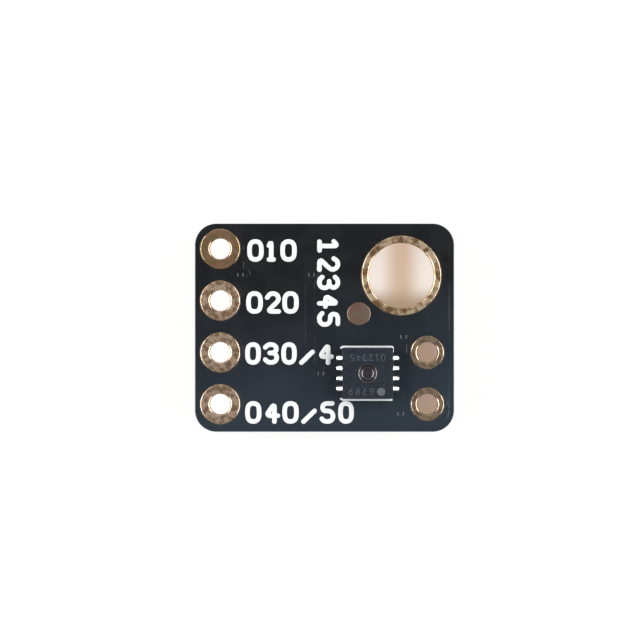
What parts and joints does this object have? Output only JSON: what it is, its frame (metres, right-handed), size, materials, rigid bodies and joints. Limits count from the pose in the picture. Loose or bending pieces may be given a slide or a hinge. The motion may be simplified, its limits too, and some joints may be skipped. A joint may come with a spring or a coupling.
{
  "type": "temperature humidity sensor module",
  "caption": "Small black circuit board carrying a temperature and humidity sensor chip, with plated pin holes for wiring and one large plated fixing hole.",
  "frame": {"origin": "middle of the board's outline, level with the lowest faces of the back-side parts that the board rests on", "axes": "+Z out of the chip side, +X to the right along the board's long side, +Y up as the board is read from above"},
  "size_m": [0.0126, 0.0102, 0.003],
  "materials": {
    "laminate": "woven glass laminate, routed edge",
    "solder_mask": "black solder mask, satin gloss",
    "copper": "bare copper foil under the mask",
    "gold_finish": "thin gold over nickel, slightly mottled",
    "solder": "bright reflowed solder",
    "tinned_metal": "matte tin plating",
    "ink": "white printed ink",
    "chip_case": "moulded black epoxy, fine grain",
    "paddle_copper": "plated copper paddle",
    "glue": "cured adhesive",
    "silicon": "polished die",
    "humidity_film": "dark red polymer film",
    "alumina": "white alumina",
    "glaze": "black overglaze",
    "capacitor_ceramic": "tan fired ceramic"
  },
  "bodies": {
    "root": {"substrate": "laminate", "ground_pour_top": "copper", "tracks_top": "copper", "ground_pour_back": "copper", "tracks_back": "copper", "mask_top": "solder_mask", "mask_back": "solder_mask", "vias": "copper", "fixing_eyelet": "gold_finish", "header_eyelet_1": "gold_finish", "header_eyelet_2": "gold_finish", "header_eyelet_3": "gold_finish", "header_eyelet_4": "gold_finish", "side_eyelet_1": "gold_finish", "side_eyelet_2": "gold_finish", "gold_spot": "gold_finish", "chip_lands": "gold_finish", "chip_solder": "solder", "chip_case": "chip_case", "chip_leads": "tinned_metal", "die_paddle": "paddle_copper", "die_glue": "glue", "sensor_die": "silicon", "humidity_film": "humidity_film", "print_bar_top": "ink", "print_bar_bottom": "ink", "back_lands": "gold_finish", "resistor_1_body": "alumina", "resistor_2_body": "alumina", "resistor_3_body": "alumina", "resistor_1_glaze": "glaze", "resistor_2_glaze": "glaze", "resistor_3_glaze": "glaze", "resistor_1_ends": "tinned_metal", "resistor_2_ends": "tinned_metal", "resistor_3_ends": "tinned_metal", "resistor_1_solder": "solder", "resistor_2_solder": "solder", "resistor_3_solder": "solder", "capacitor_body": "capacitor_ceramic", "capacitor_ends": "tinned_metal", "capacitor_solder": "solder"}
  },
  "joints": []
}
